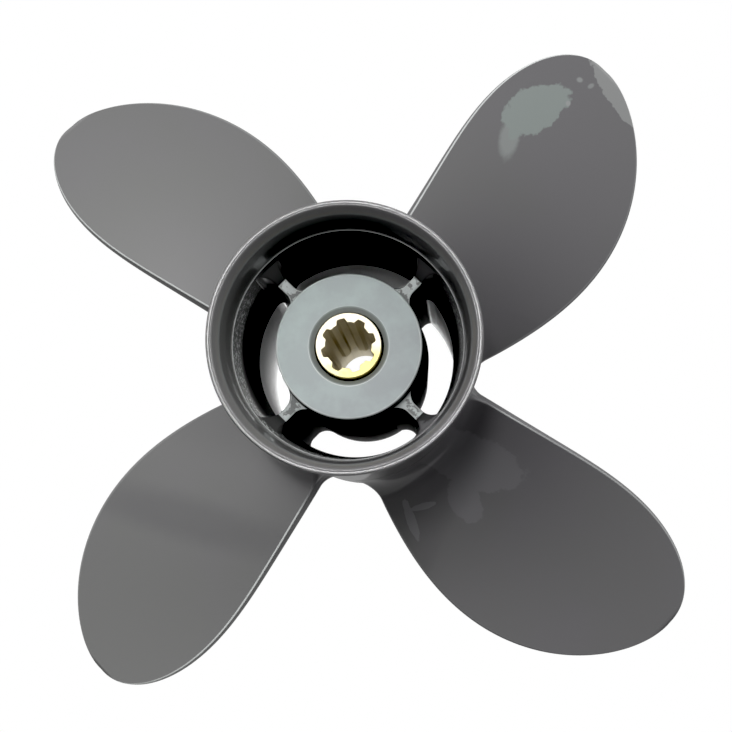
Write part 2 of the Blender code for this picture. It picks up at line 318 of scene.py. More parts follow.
def smooth(value, start, end, low=0.0, high=1.0):
    """A ramp with soft ends."""
    settings = {"interpolation_type": "SMOOTHSTEP"}
    return value.node("ShaderNodeMapRange", settings, {0: value, 1: start, 2: end, 3: low, 4: high})


def blend(low, high, amount):
    return low + (high - low) * amount


def mix(amount, first, second):
    """The first colour where the amount is 0 and the second one where it is 1."""
    inputs = {0: amount, 6: opaque(first), 7: opaque(second)}
    return amount.node("ShaderNodeMix", {"data_type": "RGBA"}, inputs, 2)


def opaque(shade):
    return shade if isinstance(shade, Value) else (*shade, 1.0)


def parts_of(vector):
    """The three numbers of a vector value."""
    return [vector.node("ShaderNodeSeparateXYZ", {}, {0: vector}, axis) for axis in range(3)]


def bezier(controls, value):
    """The value on a curve with these evenly spaced controls, as a polynomial of the value."""
    degree = len(controls) - 1
    result = 0.0
    for power in range(degree, -1, -1):
        term = math.comb(degree, power) * sum(
            (-1) ** (power - index) * math.comb(power, index) * controls[index]
            for index in range(power + 1)
        )
        result = value * result + term
    return result


# Geometry Nodes trees


def new_tree(name, sizes, takes_mesh=False):
    """A tree with a named number input for each size, a Material input and a Geometry output."""
    tree = bpy.data.node_groups.new(name, "GeometryNodeTree")
    if takes_mesh:
        tree.interface.new_socket("Geometry", in_out="INPUT", socket_type="NodeSocketGeometry")
    for label in sizes:
        tree.interface.new_socket(label, in_out="INPUT", socket_type="NodeSocketFloat")
    tree.interface.new_socket("Material", in_out="INPUT", socket_type="NodeSocketMaterial")
    tree.interface.new_socket("Geometry", in_out="OUTPUT", socket_type="NodeSocketGeometry")
    entry = tree.nodes.new("NodeGroupInput")
    given = {socket.name: Value(tree, socket) for socket in entry.outputs if socket.name}
    return tree, Value(tree), given


def end_tree(geometry, material):
    """Realizes the geometry, smooths it, gives it its material and ends the tree with it."""
    whole = geometry.node("GeometryNodeRealizeInstances", {}, {0: geometry})
    soft = whole.node("GeometryNodeSetShadeSmooth", {}, {"Geometry": whole})
    done = soft.node("GeometryNodeSetMaterial", {}, {"Geometry": soft, "Material": material})
    leave = done.tree.nodes.new("NodeGroupOutput")
    done.tree.links.new(done.socket, leave.inputs[0])


def grown_from(tree, name, sizes, material, mesh=None):
    """The tree's result as a plain mesh object, with the tree's inputs set to these sizes."""
    source = bpy.data.objects.new(name + "_source", mesh or bpy.data.meshes.new(name + "_source"))
    modifier = source.modifiers.new("Rule", "NODES")
    modifier.node_group = tree
    given = {**sizes, "Material": material}
    for item in tree.interface.items_tree:
        if item.in_out == "INPUT" and item.name in given:
            modifier[item.identifier] = given[item.name]
    bpy.context.scene.collection.objects.link(source)
    graph = bpy.context.evaluated_depsgraph_get()
    result = bpy.data.meshes.new_from_object(source.evaluated_get(graph), depsgraph=graph)
    source.modifiers.remove(modifier)
    bpy.data.objects.remove(source)
    result.name = name
    facing_out(result)
    return add_object(name, result)


def around_and_rows(graph, columns, rows, ends="NGON"):
    """A tube to be shaped, with each point's fraction of the way round it and along it."""
    inputs = {"Vertices": columns, "Side Segments": rows, "Radius": 1.0, "Depth": 1.0}
    tube = graph.node("GeometryNodeMeshCylinder", {"fill_type": ends}, inputs)
    across, up, row = parts_of(graph.node("GeometryNodeInputPosition"))
    turn = maths("ARCTAN2", up, across) / math.tau
    around = maths("FRACT", turn + 1.0)
    return tube, around, row + 0.5


def shaped(tube, radius, turn, height):
    """The tube with each point moved to a radius, an angle and a height round the shaft."""
    inputs = {0: radius * maths("COSINE", turn), 1: radius * maths("SINE", turn), 2: height}
    place = tube.node("ShaderNodeCombineXYZ", {}, inputs)
    moved = tube.node("GeometryNodeSetPosition", {}, {"Geometry": tube, "Position": place})
    return tube.node("GeometryNodeMergeByDistance", {}, {"Geometry": moved, "Distance": 0.002 * MM})


def repeated(geometry, count):
    """Copies of the geometry, evenly round the shaft."""
    points = geometry.node("GeometryNodePoints", {}, {"Count": count})
    number = geometry.node("GeometryNodeInputIndex")
    turn = geometry.node("ShaderNodeCombineXYZ", {}, {2: number * (math.tau / count)})
    rotation = geometry.node("FunctionNodeEulerToRotation", {}, {0: turn})
    inputs = {"Points": points, "Instance": geometry, "Rotation": rotation}
    return geometry.node("GeometryNodeInstanceOnPoints", {}, inputs)


# Meshes made in code


def add_object(name, mesh):
    obj = bpy.data.objects.new(name, mesh)
    bpy.context.scene.collection.objects.link(obj)
    return obj


def rounded(corners, steps=8):
    """A closed outline through these (x, y, fillet radius) corners, with arcs for the fillets.

    A point just beside each arc keeps the shading of the flats flat.
    """
    points = []
    for index, (across, up, fillet) in enumerate(corners):
        corner = Vector((across, up))
        if not fillet:
            points.append(corner)
            continue
        back = (Vector(corners[index - 1][:2]) - corner).normalized()
        ahead = (Vector(corners[(index + 1) % len(corners)][:2]) - corner).normalized()
        half = back.angle(ahead) / 2
        centre = corner + (back + ahead).normalized() * fillet / math.sin(half)
        reach = fillet / math.tan(half)
        start = (corner + back * reach - centre).normalized()
        end = (corner + ahead * reach - centre).normalized()
        beside = min(fillet * 0.1, 0.15 * MM)
        points.append(corner + back * (reach + beside))
        points += [centre + start.slerp(end, step / steps) * fillet for step in range(steps + 1)]
        points.append(corner + ahead * (reach + beside))
    return points


def lofted(name, loops, closed):
    """Quads from loop to loop and from the last one to the first. Each loop may be closed."""
    shape = bmesh.new()
    rings = [[shape.verts.new(point) for point in loop] for loop in loops]
    count = len(rings[0])
    for inner, outer in zip(rings, rings[1:] + rings[:1]):
        for index in range(count if closed else count - 1):
            after = (index + 1) % count
            shape.faces.new((inner[index], inner[after], outer[after], outer[index]))
    mesh = bpy.data.meshes.new(name)
    shape.to_mesh(mesh)
    shape.free()
    return mesh


def facing_out(mesh):
    shape = bmesh.new()
    shape.from_mesh(mesh)
    bmesh.ops.recalc_face_normals(shape, faces=shape.faces)
    shape.to_mesh(mesh)
    shape.free()


def turned(name, corners, material, steps=360):
    """A ring turned about the shaft from its rounded outline."""
    turns = [math.tau * step / steps for step in range(steps)]
    outline = rounded(corners)
    loops = [[(p.x * math.cos(turn), p.x * math.sin(turn), p.y) for turn in turns] for p in outline]
    mesh = lofted(name, loops, closed=True)
    facing_out(mesh)
    mesh.materials.append(material)
    mesh.shade_smooth()
    mesh.set_sharp_from_angle(angle=math.radians(30))
    return add_object(name, mesh)


def named(labels, sizes):
    """The sizes of a property group under these labels of a tree's inputs."""
    return {label: getattr(sizes, label.lower().replace(" ", "_")) for label in labels}


def finish_piece(piece, slot, *nodes):
    """Hangs the piece on its body and hides the nodes that it stands for. The slot is not used."""
    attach(piece, BODY)
    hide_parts(*nodes)


# Materials

# Noise patterns: waves in a metre, detail and roughness
CLOUDS = (22.0, 3.0, 0.55)
GRIT = (1100.0, 4.0, 0.7)
BLOTCHES = (420.0, 3.0, 0.6)
MOTTLE = (130.0, 4.0, 0.6)
RAGGED = (230.0, 3.0, 0.6)
PEEL = (420.0, 1.0)
BLOTS = (260.0, 3.0, 0.6)
GRAIN = (900.0, 3.0)
DUST = (60.0, 4.0)
TURNED_RINGS = 9000.0


def new_material(name):
    """A node material, its Principled shader and the places of its points as a value."""
    material = bpy.data.materials.new(name)
    material.use_nodes = True
    shader = material.node_tree.nodes["Principled BSDF"]
    place = Value(material.node_tree).node("ShaderNodeTexCoord", output="Object")
    return material, shader, place


def link(shader, name, value):
    value.tree.links.new(value.socket, shader.inputs[name])


def noise(place, scale, detail=2.0, roughness=0.5):
    inputs = {"Vector": place, "Scale": scale, "Detail": detail, "Roughness": roughness}
    return place.node("ShaderNodeTexNoise", {}, inputs)


def bump(height, distance, strength=1.0, normal=None):
    inputs = {"Height": height, "Distance": distance, "Strength": strength}
    if normal:
        inputs["Normal"] = normal
    return height.node("ShaderNodeBump", {}, inputs)


def from_shaft(place):
    """The distance from the shaft's axis, and the height along it."""
    across, up, height = parts_of(place)
    return maths("SQRT", across * across + up * up), height


def band(value, low, high, soft):
    """1 between low and high, with soft ends."""
    return smooth(value, low - soft, low + soft) * smooth(value, high + soft, high - soft)


def reflection_mask(place, across, up, turn, long, wide, soft, ragged):
    """A painted reflection's mask: an oval at this place in mm, turned this far, with a soft or a
    ragged edge.
    """
    inputs = {"Vector": place, "Location": (across * MM, up * MM, 0)}
    inputs["Rotation"] = (0, 0, math.radians(turn))
    along, off, _ = parts_of(place.node("ShaderNodeMapping", {"vector_type": "TEXTURE"}, inputs))
    along = along / (long * MM)
    off = off / (wide * MM)
    edge = noise(place, *RAGGED) - 0.5
    distance = maths("SQRT", along * along + off * off) + edge * ragged
    return smooth(distance, 1.0 + soft, 1.0 - soft)


def casting_paint(finish, housing):
    """Glossy grey paint, worn on the ribs' ends and gritty at the ledge, with painted shadow in the
    passages, painted highlights on edges and painted reflections on the blades and the hub's face.
    """
    existing = bpy.data.materials.get("casting_paint")
    if existing:
        return existing
    material, shader, place = new_material("casting_paint")
    radius, height = from_shaft(place)
    across, up, _ = parts_of(place)
    upper = up / radius
    parting, ledge, hub_end = housing.parting_height, housing.ledge_height, HUB_BOX[1][2]
    past_hub = radius - housing.hub_aft_radius
    off_wall = bore_radius(height, housing) - radius
    clouds = noise(place, *CLOUDS)
    grit = noise(place, *GRIT)
    cool = smooth(clouds, 0.35, 0.65) * 0.5 + smooth(across, 35 * MM, -25 * MM) * 0.5
    tone = mix(cool, finish.paint, finish.paint_shade)

    # Bare metal at the front of the passages, and painted shadow in them
    inside = smooth(off_wall, -0.25 * MM, -0.1 * MM) * smooth(past_hub, -0.3 * MM, -0.1 * MM)
    at_wall = smooth(off_wall, 0.6 * MM, 0.2 * MM) * inside
    ahead = smooth(height, parting + 0.2 * MM, parting - 0.2 * MM)
    # The bottom passage gets no bare wall, so it stays in painted shadow
    raw = smooth(off_wall, 1.5 * MM, 0.6 * MM) * smooth(up, -21 * MM, -17 * MM)
    raw = raw * inside * ahead
    # Painted shade: the bare wall darkens from the parting line towards the front end
    raw_shaded_tone = mix(ramp(height, parting, 20 * MM), finish.raw, finish.raw_painted_shade)
    tone = mix(raw, tone, raw_shaded_tone)
    # Painted shadow: black, deeper down the passages, on the hub and on the bore's upper side
    wall_shadow = smooth(height, ledge, ledge - 20 * MM, 0.25, 1.0)
    wall_shadow = larger(wall_shadow, smooth(upper, 0.3, 0.8))
    hub_shadow = smooth(height, housing.rib_aft + 6 * MM, housing.rib_aft - 4 * MM, 0.55, 1.0)
    painted_shadow = inside * blend(hub_shadow, wall_shadow, at_wall) * (1.0 - raw)
    tone = mix(painted_shadow, tone, finish.painted_shadow)

    # Grit under the ledge, a painted highlight on the ledge's edge, and painted shadow on the upper
    # side of the bell above it
    under_ledge = at_wall * band(height, ledge - 9 * MM, ledge - 0.3 * MM, 2 * MM)
    specks = smooth(grit, 0.5, 0.62) * under_ledge * smooth(up, 20 * MM, 8 * MM)
    tone = mix(specks * 0.7, tone, finish.worn_and_highlight)
    bell = smooth(radius, 33.9 * MM, 33.6 * MM) * smooth(height, 93.6 * MM, 94.4 * MM)
    # Painted shadow on the upper side of the bell
    bell_shadow = smooth(radius, 32.7 * MM, 31.5 * MM, 0.15, 0.6) * smooth(upper, 0.0, 0.85)
    tone = mix(bell_shadow * bell, tone, finish.painted_shadow)
    # Painted highlight: a bright line on the ledge's edge
    ledge_highlight = band(height, ledge - 0.1 * MM, housing.ledge_top + 0.1 * MM, 0.05 * MM) * inside
    tone = mix(ledge_highlight * 0.35, tone, finish.worn_and_highlight)

    # The ribs' flat ends: worn bare casting, painted lighter as a highlight, with blotches of paint
    # left on them
    turn = (maths("ARCTAN2", up, across) - housing.rib_angle) / (math.tau / BLADES) + 8.5
    off_rib = maths("ABSOLUTE", maths("FRACT", turn) - 0.5) * (math.tau / BLADES) * radius
    side = rib_half_width(housing.rib_waist, housing.rib_fillet, past_hub, off_wall) - off_rib
    flat_length = housing.rib_flat - housing.hub_aft_radius
    rib_end = band(height, housing.rib_aft - 0.7 * MM, housing.rib_aft + 0.6 * MM, 0.2 * MM)
    rib_end = rib_end * band(past_hub, 0.5 * MM, flat_length + 0.3 * MM, 0.2 * MM)
    rib_end = rib_end * smooth(side, 0.0, 0.15 * MM)
    painted = smooth(noise(place, *BLOTCHES), 0.5, 0.56) * rib_end
    tone = mix(rib_end, tone, finish.worn_and_highlight)
    tone = mix(painted * 0.75, tone, finish.paint_shade)
    # Painted highlight: bright lines along the edges of the ribs' ends
    rib_edge_highlight = band(side, 0.08 * MM, 0.4 * MM, 0.08 * MM) * rib_end * smooth(grit, 0.35, 0.5)
    tone = mix(rib_edge_highlight * 0.8, tone, finish.bright)
    # Painted reflections: lighter patches on two blades and a darker band on a third
    for reflection in PAINTED_REFLECTIONS:
        tone = mix(reflection_mask(place, *reflection[:7]), tone, reflection[7])

    # The hub's end face, painted pale for the overhead light's reflection, mottled and with a
    # painted shade towards its lower right; the bevel round its hole; and painted highlights on its
    # two edges
    face = smooth(height, hub_end - 0.5 * MM, hub_end - 0.2 * MM)
    face = face * smooth(height, hub_end + 0.4 * MM, hub_end + 0.2 * MM)
    face = face * smooth(past_hub, 0.4 * MM, 0.2 * MM)
    mottle_and_shade = smooth(noise(place, *MOTTLE), 0.35, 0.65) * 0.5
    # Painted shade: the face darkens towards its lower right
    mottle_and_shade = mottle_and_shade + smooth(across - up, -20 * MM, 24 * MM) * 0.5
    face_sheen = mix(mottle_and_shade, finish.hub_face_sheen, finish.hub_face_mottle_and_shade)
    tone = mix(face, tone, face_sheen)
    # The bevel round the hole takes half of the face's painted reflection
    bevel = band(radius, 9 * MM, 10.8 * MM, 0.15 * MM) * smooth(height, 88 * MM, 88.4 * MM)
    tone = mix(bevel * 0.5, tone, face_sheen)
    # Painted highlights: bright lines on the hole's lip and the face's outer edge, patchy by the
    # clouds
    lip_highlights = band(radius, 10.8 * MM, 11.05 * MM, 0.06 * MM)
    lip_highlights = lip_highlights + band(radius, 19.3 * MM, 19.9 * MM, 0.1 * MM)
    lip_highlights = lip_highlights * smooth(height, 89 * MM, 89.3 * MM) * smooth(clouds, 0.4, 0.6, 0.3, 1.0)
    tone = mix(lip_highlights * 0.8, tone, finish.bright)
    # Painted highlight along the blades' edges, from their edge attribute, weaker towards the lower
    # right
    edge = place.node("ShaderNodeAttribute", {"attribute_name": "edge"}, {}, "Fac")
    edge = edge * smooth(across - up, 40 * MM, 80 * MM, 0.7, 0.2)
    link(shader, "Base Color", mix(edge, tone, finish.bright))
    link(shader, "Metallic", rib_end * (1.0 - painted) * 0.5)

    # Gloss, and the paint's fine waves
    rough = larger(under_ledge, rib_end)
    matte = larger(face, rough)
    rim = smooth(height, 107.1 * MM, 107.5 * MM)
    roughness = finish.paint_gloss + matte * 0.16 + (clouds - 0.5) * 0.06
    roughness = larger(larger(roughness, raw * 0.7), larger(painted_shadow, rim * 0.33))
    link(shader, "Roughness", roughness)
    dull = larger(larger(matte, rim * 0.6), larger(painted_shadow, inside))
    link(shader, "Coat Weight", (1.0 - dull) * 0.6)
    shader.inputs["Coat Roughness"].default_value = 0.06
    surface = bump(noise(place, *PEEL), 0.03 * MM, 0.35)
    link(shader, "Normal", bump(grit * rough, 0.3 * MM, 0.9, surface))
    return material


def machined_brass(finish, sleeve):
    """Brass with turned rings on its ends, and a stained bore with painted shade at its far end."""
    material, shader, place = new_material("machined_brass")
    radius, height = from_shaft(place)
    across, up, _ = parts_of(place)
    blots = noise(place, *BLOTS)
    bore = smooth(radius, sleeve.relief_radius + 0.05 * MM, sleeve.relief_radius - 0.1 * MM)
    depth = smooth(height, SLEEVE_BOX[1][2] - 0.1 * MM, SLEEVE_BOX[1][2] - 1.5 * MM)
    shade = smaller(bore * depth * blend(0.75, 1.1, blots), 1.0)
    yellow = smooth(across * 0.4 - up + (blots - 0.5) * 12 * MM, 1 * MM, 8 * MM)
    tone = mix(yellow, finish.brass, finish.brass_yellower)
    tone = mix(shade, tone, finish.brass_shade)
    # Painted shade: the bore darkens past the end of the teeth
    relief = smooth(height, sleeve.relief_height + 1 * MM, sleeve.relief_height - 1 * MM) * bore
    tone = mix(relief * 0.92, tone, finish.brass_far_shadow)
    link(shader, "Base Color", tone)
    link(shader, "Roughness", blend(0.52, 0.6, shade) + (blots - 0.5) * 0.1)
    link(shader, "Metallic", 1.0 - shade * 0.3 - relief * 0.5)
    inputs = {"W": radius, "Scale": TURNED_RINGS}
    rings = radius.node("ShaderNodeTexNoise", {"noise_dimensions": "1D"}, inputs)
    link(shader, "Normal", bump(rings, 0.02 * MM, 0.4))
    return material


def moulded_rubber(finish):
    material, shader, place = new_material("moulded_rubber")
    grain = noise(place, *GRAIN)
    dust = smooth(noise(place, *DUST), 0.45, 0.75)
    dusty = tuple(channel * 2.2 for channel in finish.rubber)
    link(shader, "Base Color", mix(dust, finish.rubber, dusty))
    link(shader, "Roughness", blend(0.62, 0.78, grain))
    link(shader, "Normal", bump(grain, 0.05 * MM, 0.5))
    return material


# Shapes

BLADE_SIZES = (
    "Diameter", "Height", "Rake", "Root pitch", "Tip pitch", "Root thickness", "Tip thickness",
    "Leading edge", "Trailing edge", "Face fillet", "Back fillet", "Edge fillet",
)
RIB_SIZES = ("Rib angle", "Rib waist", "Rib fillet", "Rib front", "Rib aft", "Rib top")
QUARTER = math.pi / 2
ALMOST_ONE = 0.999999  # a little under 1, so that rounding can't leave a chord at the tip


def blade_tree():
    """The rule of a blade: sections of a screw, unrolled, thickened and wrapped on cylinders."""
    columns, rows, fillet_rows = 200, 100, 14
    face_end, wall_start, wall_end, back_start, back_end = 0.38, 0.45, 0.47, 0.54, 0.92
    half_width = (35.3, 29.3, 32.1, 34.3, 30.3)
    skew_controls = (0.0, 1.9, 1.8, 5.6, 6.6, 10.7)
    face_depth, buried = 0.95 * MM, 1.2 * MM
    face_corner, back_corner, nose, tip_round = 0.5 * MM, 1.0 * MM, 1.1 * MM, 1.3 * MM
    crowding, belly, taper, ease = 0.12, 0.8, 0.8, 2.0 * MM
    first_row, last_row = 1 / rows, 1.0 - 1 / rows
    tree, graph, given = new_tree("Blade rule", ("Turn", "Barrel radius", *BLADE_SIZES))
    tube, around, row = around_and_rows(graph, columns, rows, "NONE")
    full_section = ramp(row, 0.0, first_row)
    barrel = given["Barrel radius"]
    tip = given["Diameter"] / 2

    facing = ramp(around, face_end, wall_start, 0.0, QUARTER)
    facing = facing + ramp(around, wall_end, back_start, 0.0, QUARTER)
    facing = facing + ramp(around, back_end, 1.0, 0.0, math.pi)
    toward_face = maths("COSINE", facing)
    toward_trailing = maths("SINE", facing)
    station = ramp(around, 0.0, face_end) - ramp(around, back_start, back_end)
    station = station - crowding * maths("SINE", station * math.tau)
    side = ramp(around, wall_start, wall_end, 1.0, -1.0)

    edge_fillet = given["Edge fillet"]
    fillet = edge_fillet + (given["Face fillet"] - edge_fillet) * larger(toward_face, 0.0)
    fillet = fillet + (given["Back fillet"] - edge_fillet) * larger(0.0 - toward_face, 0.0)
    station = blend(station, 0.5, ramp(row, last_row, 1.0))
    climb = ramp(row, first_row, fillet_rows / rows, 0.0, QUARTER)
    free = ramp(row, fillet_rows / rows, 1.0)
    swell = fillet * (1.0 - maths("SINE", climb))
    sunk = ramp(row, 0.0, first_row, buried, 0.01 * MM) * ramp(row, first_row, 4 / rows, 1.0, 0.0)
    radius = barrel - sunk + fillet * (1.0 - maths("COSINE", climb))
    radius = radius + (tip - barrel - fillet) * (1.0 - (1.0 - free) * (1.0 - free))
    wall = larger(radius, barrel)

    span = (wall - barrel) / (tip - barrel)
    left = maths("SQRT", larger(ALMOST_ONE - span, 0.0))
    half_angle = left * bezier([math.radians(width) for width in half_width], span)
    skew = bezier([math.radians(turn) for turn in skew_controls], span)
    lead = skew - half_angle
    chord = larger(half_angle * wall * 2.0, 0.0001 * MM)
    thickest = blend(given["Root thickness"], given["Tip thickness"], span**taper)
    tip_edge = 1.0 - ramp(tip - radius, 0.0002 * MM, tip_round)
    tip_swell = maths("SQRT", 1.0 - tip_edge * tip_edge)

    def thickness(distance):
        along = distance / chord
        edge = blend(given["Leading edge"], given["Trailing edge"], along)
        return edge + (thickest - edge) * larger(4.0 * along * (1.0 - along), 0.0) ** belly

    most = chord * 0.45
    lead_corner = smaller(thickness(smaller(most, nose)) / 2.0 * tip_swell, most)
    lead_corner = lead_corner * full_section
    trail_corner = smaller(ramp(side, 1.0, -1.0, face_corner, back_corner), most) * full_section
    distance = blend(lead_corner, chord - trail_corner, station)
    full = thickness(distance)
    half = full / 2.0 * tip_swell
    corner = smaller(blend(lead_corner, trail_corner, station), half)

    turn = lead + distance / wall
    pitch = blend(given["Root pitch"], given["Tip pitch"], span)
    height = given["Height"] + given["Rake"] * span + pitch * turn / math.tau - ease * turn * turn
    slope = (pitch / math.tau - 2.0 * ease * turn) / wall
    unit = 1.0 / maths("SQRT", slope * slope + 1.0)
    raised = (side * (half - corner) + toward_face * (corner + swell)) * full_section
    off_face = full / 2.0 - face_depth - raised
    along_chord = toward_trailing * (corner + swell) * full_section
    arc = turn * wall + (off_face * slope + along_chord) * unit
    rise = height + (along_chord * slope - off_face) * unit

    # Where a painted highlight goes along the blade: both corners of the trailing edge, and the
    # leading edge
    face_line = band(around, face_end + 0.01, wall_start - 0.015, 0.01)
    back_line = band(around, wall_end + 0.01, back_start - 0.01, 0.01) * 0.35
    nose_line = smooth(around, 1.0, 0.985, 0.22, 0.0) + smooth(around, 0.0, 0.01, 0.22, 0.0)
    line = (face_line + back_line + nose_line) * smooth(free, 0.0, 0.06)
    inputs = {"Geometry": tube, "Name": "edge", "Value": line}
    tube = graph.node("GeometryNodeStoreNamedAttribute", {}, inputs)
    shape = shaped(tube, radius, arc / wall + given["Turn"], rise)
    end_tree(shape, given["Material"])
    return tree


def wall_radius(height, parting, parting_radius, aft, aft_radius, front, front_radius):
    """A cast wall's radius at a height, with draft both ways from the parting line."""
    aft_part = ramp(height, parting, aft, 0.0, aft_radius - parting_radius)
    return aft_part + ramp(height, front, parting, front_radius, parting_radius)


def bore_radius(height, housing):
    """The radius of the barrel's inside at a height under the ledge."""
    return wall_radius(
        height, housing.parting_height, housing.bore_parting,
        housing.ledge_height, housing.bore_aft, 0.0, housing.bore_front,
    )


def rib_half_width(waist, fillet, *gaps):
    """Half of a rib's thickness, with a fillet at each wall that is this gap away."""
    half = waist / 2.0
    for gap in gaps:
        near = 1.0 - smaller(larger(gap / fillet, 0.0), 1.0)
        half = fillet * (1.0 - maths("SQRT", 1.0 - near * near)) + half
    return half


def rib_tree(housing, count):
    """The rule of the ribs: one web from hub to barrel, filleted into both and repeated."""
    columns, rows = 100, 56
    crowding, sunk, edge = 0.12, 0.3 * MM, 0.55 * MM
    hub_round = 0.8 * MM
    tree, graph, given = new_tree("Rib rule", RIB_SIZES)
    tube, around, row = around_and_rows(graph, columns, rows)
    row = row - crowding * maths("SINE", row * math.tau)

    rounds = (0.04, 0.38, 0.56, 0.90)
    facing = sum(ramp(around, start, start + 0.06, 0.0, QUARTER) for start in rounds)
    across = ramp(around, 0.0, 0.04) - ramp(around, 0.44, 0.56, 0.0, 2.0) + ramp(around, 0.96, 1.0)
    up = ramp(around, 0.10, 0.38) - ramp(around, 0.62, 0.90)

    aft_hub = housing.hub_parting + (housing.hub_aft_radius - housing.hub_parting) * (
        (housing.rib_aft - housing.parting_height) / (HUB_BOX[1][2] - housing.parting_height)
    )
    near_hub = aft_hub - sunk
    near_bore = housing.bore_aft + sunk
    reach = blend(near_hub, near_bore, row)
    climb = ramp(reach, housing.rib_flat, housing.bore_aft)
    dip = ramp(reach, aft_hub + hub_round, aft_hub)
    top = blend(given["Rib aft"], given["Rib top"], climb)
    top = top + hub_round * (1.0 - maths("SQRT", 1.0 - dip * dip))
    height = blend(given["Rib front"] + edge, top - edge, up) - edge * maths("COSINE", facing)

    hub = wall_radius(
        height, housing.parting_height, housing.hub_parting,
        HUB_BOX[1][2], housing.hub_aft_radius, HUB_BOX[0][2], housing.hub_front_radius,
    )
    bore = bore_radius(height, housing)
    radius = blend(hub - sunk, bore + sunk, row)
    half = rib_half_width(given["Rib waist"], given["Rib fillet"], radius - hub, bore - radius)
    arc = across * (half - edge) + edge * maths("SINE", facing)
    shape = shaped(tube, radius, arc / radius + given["Rib angle"], height)
    end_tree(repeated(shape, count), given["Material"])
    return tree


def sleeve_tree(slots):
    """The rule of the sleeve: the piece with one slot, repeated round the shaft and joined."""
    tree, graph, given = new_tree("Sleeve rule", (), takes_mesh=True)
    ring = repeated(given["Geometry"], slots)
    ring = graph.node("GeometryNodeRealizeInstances", {}, {0: ring})
    ring = graph.node("GeometryNodeMergeByDistance", {}, {"Geometry": ring, "Distance": 0.02 * MM})
    end_tree(ring, given["Material"])
    return tree


def slot_outline(sleeve):
    """The bore across one slot, from the middle of a tooth to the middle of the next."""
    tooth_round, floor_round, steps = 0.22 * MM, 0.3 * MM, 5
    tooth, slot = sleeve.tooth_radius, sleeve.slot_radius
    half = math.pi / sleeve.slots
    mouth = math.asin(sleeve.slot_mouth / 2 / tooth)
    floor = math.asin(sleeve.slot_floor / 2 / slot)
    side = [(tooth, half + (mouth - half) * step / steps, 0) for step in range(steps)]
    side += [(tooth, mouth, tooth_round), (slot, floor, floor_round), (slot, floor / 2, 0)]
    polar = [(radius, -turn, fillet) for radius, turn, fillet in side] + [(slot, 0, 0)] + side[::-1]
    flat = [(r * math.cos(turn), r * math.sin(turn), fillet) for r, turn, fillet in polar]
    return rounded(flat, steps=4)


def grown(outline, amount, slots):
    """The outline moved away from the shaft. Past its ends it goes on as the next slot does."""
    next_slot = Matrix.Rotation(math.tau / slots, 2)
    longer = [next_slot.inverted() @ outline[-2], *outline, next_slot @ outline[1]]
    moved = []
    for before, point, after in zip(longer, longer[1:], longer[2:]):
        along = (after - before).normalized()
        moved.append(point + Vector((along.y, -along.x)) * amount)
    return moved


def slot_mesh(sleeve):
    """The part of the sleeve round one slot, open where the next one joins it."""
    outline = slot_outline(sleeve)
    low, high = SLEEVE_BOX[0][2], SLEEVE_BOX[1][2]
    outer = SLEEVE_BOX[1][0]
    edge = sleeve.chamfer
    directions = [point.normalized() for point in outline]

    def circle(radius, height):
        return [(*(direction * radius), height) for direction in directions]

    def bore(grow, height):
        return [(*point, height) for point in grown(outline, grow, sleeve.slots)]

    loops = [
        circle(outer - edge, high),
        circle(outer, high - edge),
        circle(outer, low + edge),
        circle(outer - edge, low),
        circle(sleeve.relief_radius + edge, low),
        circle(sleeve.relief_radius, low + edge),
        circle(sleeve.relief_radius, sleeve.relief_height),
        bore(edge / 2, sleeve.relief_height),
        bore(0.0, sleeve.relief_height + edge / 2),
        bore(0.0, high - edge * 0.7),
        bore(edge * 0.3, high - edge * 0.2),
        bore(edge * 0.7, high),
    ]
    mesh = lofted("slot", loops, closed=False)
    mesh.transform(Matrix.Rotation(sleeve.first_slot, 4, "Z"))
    return mesh


# Operators


class PROPELLER_OT_barrel(bpy.types.Operator):
    """Cast the outer barrel with its flared aft rim and the ledge inside it"""

    bl_idname = "propeller.barrel"
    bl_label = "Cast Barrel"

    def execute(self, context):
        scene = context.scene
        sizes = scene.propeller_housing
        rim = sizes.rim_radius
        end = sizes.barrel_length
        corners = [
            (rim - 0.3 * MM, end, sizes.rim_bead * 0.3),
            (rim, end - 1.0 * MM, 0.7 * MM),
            (rim - 0.5 * MM, end - 7 * MM, 20 * MM),
            (sizes.barrel_radius, sizes.flare_height, 16 * MM),
            (sizes.barrel_radius, 0, 0.6 * MM),
            (sizes.bore_front, 0, 0.6 * MM),
            (sizes.bore_parting, sizes.parting_height, 0),
            (sizes.bore_aft, sizes.ledge_height, 0.12 * MM),
            (sizes.ledge_radius, sizes.ledge_top, 0.1 * MM),
            (sizes.neck_radius, sizes.neck_height, 25 * MM),
            (sizes.throat_radius, sizes.throat_height, 6 * MM),
            (rim - sizes.rim_lip, end, sizes.rim_bead),
            (rim - (sizes.rim_lip + 0.3 * MM) / 2, end - 0.14 * MM, 0),
        ]
        barrel = turned("cast_barrel", corners, casting_paint(scene.propeller_finish, sizes))
        finish_piece(barrel, "paint", "outer_barrel")
        return {"FINISHED"}


